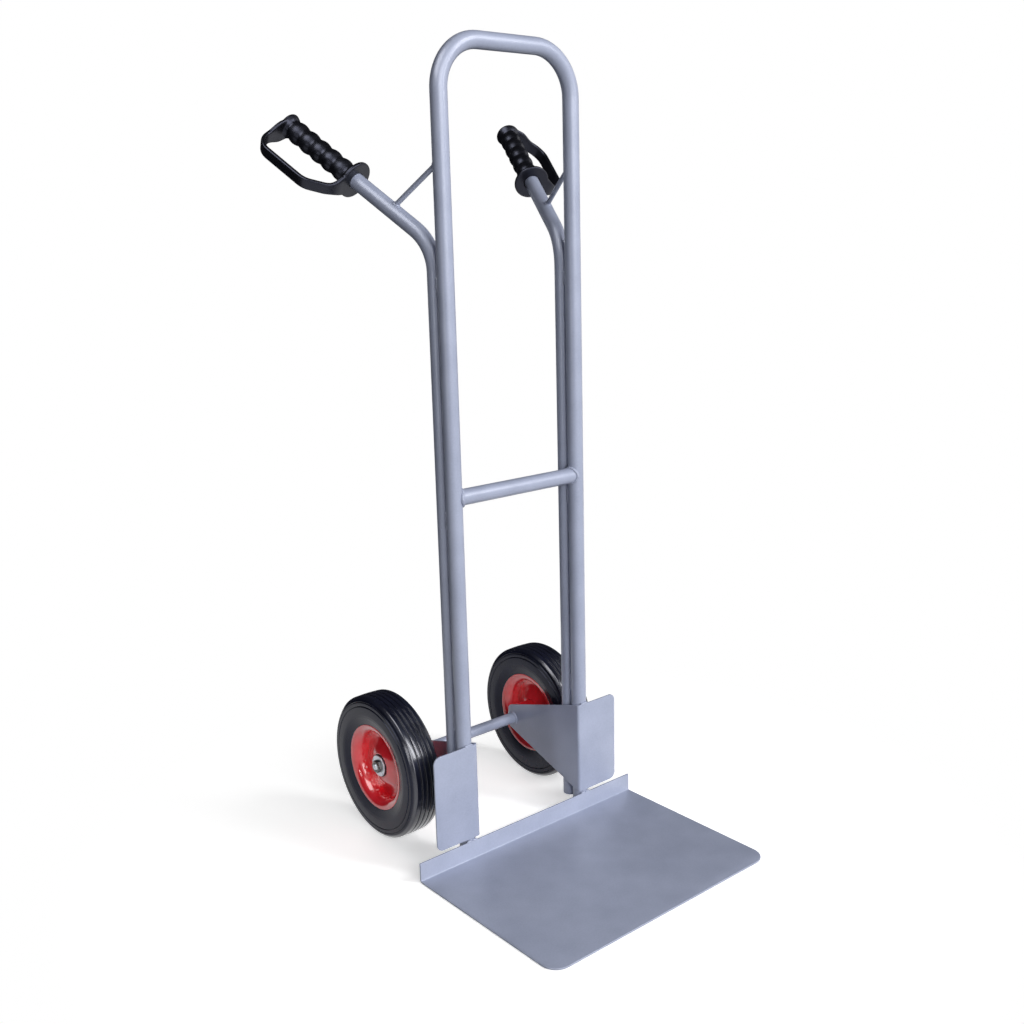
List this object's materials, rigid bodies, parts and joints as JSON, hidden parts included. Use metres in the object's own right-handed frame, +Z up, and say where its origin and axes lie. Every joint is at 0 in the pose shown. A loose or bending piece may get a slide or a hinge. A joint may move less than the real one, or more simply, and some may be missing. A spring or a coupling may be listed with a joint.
{
  "type": "hand truck",
  "caption": "Upright hand truck with a looped tube frame, a flat toe plate, two splayed handles with knuckle guards, and solid-tyred wheels on a fixed axle.",
  "frame": {"origin": "on the floor, at the middle of the outside box seen from above", "axes": "+X to the right wheel, -Y to the load side where the toe plate lies, +Z up"},
  "size_m": [0.571, 0.626, 1.296],
  "materials": {
    "frame_paint": "gloss silver-grey powder coat",
    "wheel_paint": "gloss red enamel",
    "tyre_rubber": "satin black rubber",
    "grip_plastic": "satin moulded, fine grain",
    "cage_plastic": "moulded",
    "zinc_steel": "bright zinc plated",
    "hard_steel": "ground"
  },
  "bodies": {
    "frame": {"main_frame_tube": "frame_paint", "crossbar": "frame_paint", "toe_plate": "frame_paint", "axle": "frame_paint", "handle_tube_left": "frame_paint", "handle_strut_left": "frame_paint", "wheel_bracket_left": "frame_paint", "grip_left": "grip_plastic", "thrust_washer_left": "zinc_steel", "outer_washer_left": "zinc_steel", "axle_nut_left": "zinc_steel", "handle_tube_right": "frame_paint", "handle_strut_right": "frame_paint", "wheel_bracket_right": "frame_paint", "grip_right": "grip_plastic", "thrust_washer_right": "zinc_steel", "outer_washer_right": "zinc_steel", "axle_nut_right": "zinc_steel"},
    "wheel_left": {"tyre_left": "tyre_rubber", "rim_outer_left": "wheel_paint", "rim_inner_left": "wheel_paint", "hub_tube_left": "wheel_paint"},
    "cage_left": {"roller_cage_left": "cage_plastic", "roller_left_1": "hard_steel", "roller_left_2": "hard_steel", "roller_left_3": "hard_steel", "roller_left_4": "hard_steel", "roller_left_5": "hard_steel", "roller_left_6": "hard_steel", "roller_left_7": "hard_steel", "roller_left_8": "hard_steel"},
    "wheel_right": {"tyre_right": "tyre_rubber", "rim_outer_right": "wheel_paint", "rim_inner_right": "wheel_paint", "hub_tube_right": "wheel_paint"},
    "cage_right": {"roller_cage_right": "cage_plastic", "roller_right_1": "hard_steel", "roller_right_2": "hard_steel", "roller_right_3": "hard_steel", "roller_right_4": "hard_steel", "roller_right_5": "hard_steel", "roller_right_6": "hard_steel", "roller_right_7": "hard_steel", "roller_right_8": "hard_steel"}
  },
  "joints": [
    {"name": "wheel_left_spin", "type": "hinge", "parent": "frame", "child": "wheel_left", "pos_m": [0, 0.188, 0.125], "axis": [1, 0, 0], "continuous": true},
    {"name": "wheel_right_spin", "type": "hinge", "parent": "frame", "child": "wheel_right", "pos_m": [0, 0.188, 0.125], "axis": [1, 0, 0], "continuous": true},
    {"name": "cage_left_spin", "type": "hinge", "parent": "frame", "child": "cage_left", "pos_m": [0, 0.188, 0.125], "axis": [1, 0, 0], "continuous": true},
    {"name": "cage_right_spin", "type": "hinge", "parent": "frame", "child": "cage_right", "pos_m": [0, 0.188, 0.125], "axis": [1, 0, 0], "continuous": true}
  ],
  "couplings": [
    {"joint": "cage_left_spin", "follows": "wheel_left_spin", "ratio": 0.6667},
    {"joint": "cage_right_spin", "follows": "wheel_right_spin", "ratio": 0.6667}
  ]
}
